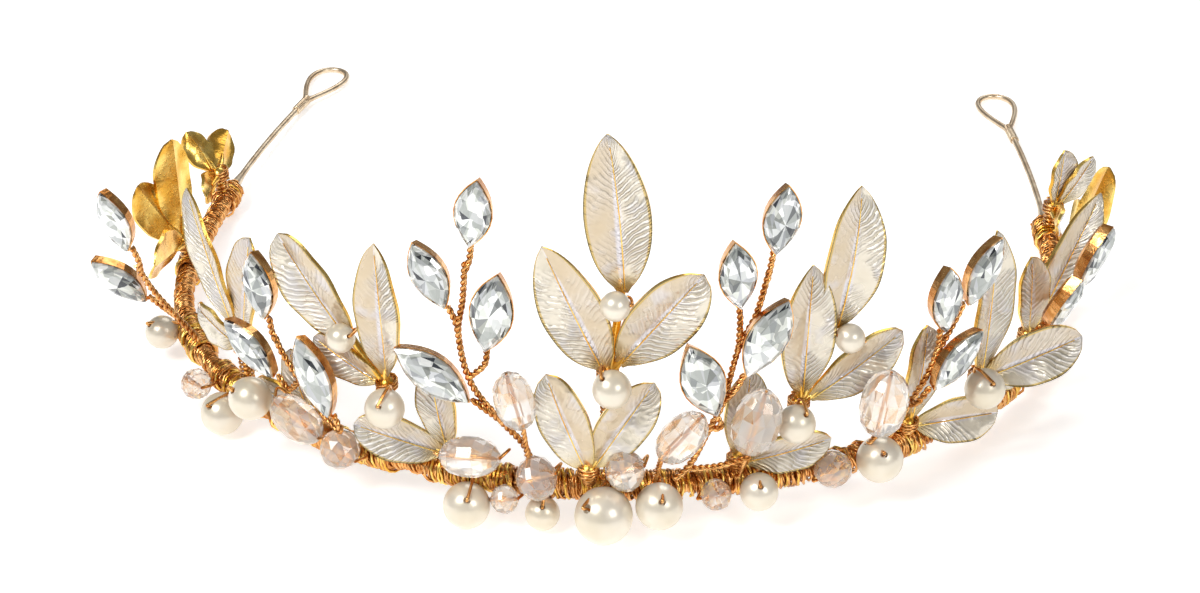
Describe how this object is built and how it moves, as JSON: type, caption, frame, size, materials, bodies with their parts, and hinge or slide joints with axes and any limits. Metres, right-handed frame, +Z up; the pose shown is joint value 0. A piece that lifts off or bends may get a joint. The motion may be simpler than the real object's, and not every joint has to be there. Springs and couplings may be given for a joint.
{
  "type": "bridal tiara",
  "caption": "Bridal tiara: springy gold wire band open at the back, with enamelled leaf sprays, pointed stones in metal cups, pearls and long faceted crystals.",
  "frame": {"origin": "centre of the footprint, on the table the tiara stands on", "axes": "+Z up, +X the wearer's left (right for someone facing the wearer), +Y towards the open back"},
  "size_m": [0.1782, 0.1742, 0.0734],
  "materials": {
    "gold_wire": "polished",
    "enamelled_leaf": "satin",
    "pearl": "satin",
    "stone": "polished",
    "crystal": "polished"
  },
  "bodies": {
    "front": {"front_band": "gold_wire", "centre_top_spray": "enamelled_leaf", "centre_low_spray": "enamelled_leaf", "left_mid_spray": "enamelled_leaf", "left_low_spray": "enamelled_leaf", "left_side_low_spray": "enamelled_leaf", "right_mid_spray": "enamelled_leaf", "right_low_spray": "enamelled_leaf", "left_front_stone_1": "stone", "left_front_stone_2": "stone", "left_front_stone_3": "stone", "left_front_stone_4": "stone", "left_front_branch": "gold_wire", "right_front_stone_1": "stone", "right_front_stone_2": "stone", "right_front_stone_3": "stone", "right_front_stone_4": "stone", "right_front_branch": "gold_wire", "left_mid_stone_1": "stone", "left_mid_stone_2": "stone", "left_mid_stone_3": "stone", "left_mid_branch": "gold_wire", "centre_pearl": "pearl", "left_front_pearl": "pearl", "right_front_pearl": "pearl", "right_corner_pearl": "pearl", "centre_hub_pearl": "pearl", "left_hub_pearl": "pearl", "right_hub_pearl": "pearl", "left_corner_pearl": "pearl", "left_upright_crystal": "crystal", "left_level_crystal": "crystal", "left_round_crystal": "crystal", "left_corner_crystal": "crystal", "right_lower_crystal": "crystal", "right_upright_crystal": "crystal", "right_corner_crystal": "crystal"},
    "left_arm": {"left_band_arm": "gold_wire", "left_side_spray": "enamelled_leaf", "left_far_spray": "enamelled_leaf", "left_end_spray": "enamelled_leaf", "left_side_branch": "gold_wire", "left_side_stone_1": "stone", "left_side_stone_2": "stone", "left_side_pearl": "pearl", "left_far_pearl": "pearl"},
    "right_arm": {"right_band_arm": "gold_wire", "right_side_low_spray": "enamelled_leaf", "right_side_spray": "enamelled_leaf", "right_far_spray": "enamelled_leaf", "right_back_spray": "enamelled_leaf", "right_end_spray": "enamelled_leaf", "right_side_branch": "gold_wire", "right_side_stone_1": "stone", "right_side_stone_2": "stone", "right_side_stone_3": "stone", "right_far_branch": "gold_wire", "right_far_stone_1": "stone", "right_far_stone_2": "stone", "right_side_pearl": "pearl"}
  },
  "joints": [
    {"name": "left_arm_flex", "type": "hinge", "parent": "front", "child": "left_arm", "pos_m": [-0.05507, -0.0545, 0.00628], "axis": [0, -0.0402, -0.9992], "range_deg": [-5, 8], "stiffness_Nm_per_rad": 0.15},
    {"name": "right_arm_flex", "type": "hinge", "parent": "front", "child": "right_arm", "pos_m": [0.05078, -0.05903, 0.00646], "axis": [0, 0.0402, 0.9992], "range_deg": [-5, 8], "stiffness_Nm_per_rad": 0.15}
  ]
}
